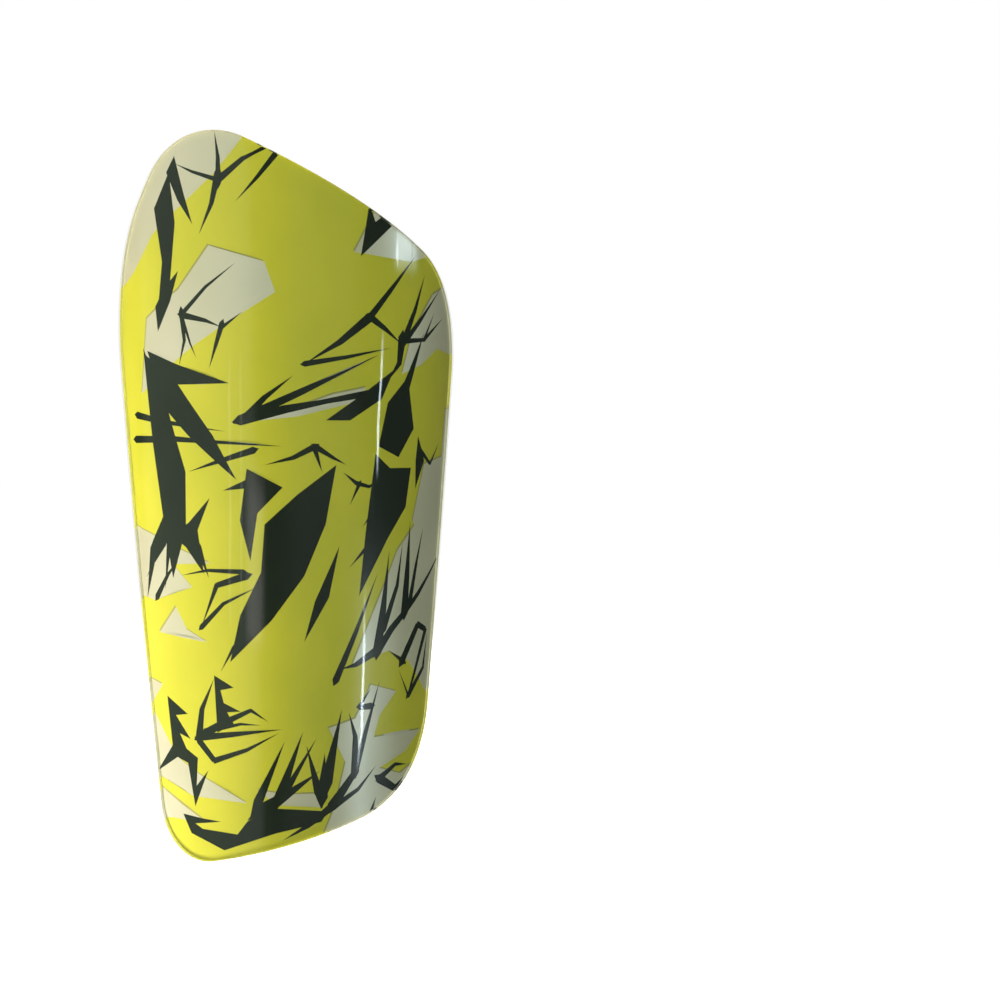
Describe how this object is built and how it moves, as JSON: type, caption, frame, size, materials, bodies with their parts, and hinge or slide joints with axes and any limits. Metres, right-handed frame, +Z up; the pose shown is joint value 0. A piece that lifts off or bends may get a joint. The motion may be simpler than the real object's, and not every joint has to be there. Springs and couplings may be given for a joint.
{
  "type": "shin guard",
  "caption": "Curved slip-in shin guard: a clear glossy shell over a printed film, bonded to a foam pad with a knitted lining.",
  "frame": {"origin": "where the lining's inner face meets the front of the shin, on the crown of the curve, at the middle of the guard's height", "axes": "+Z up the shin, +Y from the guard into the leg, +X away from the side with the high peak"},
  "size_m": [0.0986, 0.0317, 0.2],
  "materials": {
    "clear_shell": "clear, polished",
    "printed_film": "printed, satin",
    "adhesive": "matt",
    "foam": "closed-cell foam, matt",
    "lining": "black knit"
  },
  "bodies": {
    "root": {"outer_shell": "clear_shell", "graphic_film": "printed_film", "adhesive_layer": "adhesive", "foam_pad": "foam", "lining_fabric": "lining"}
  },
  "joints": []
}
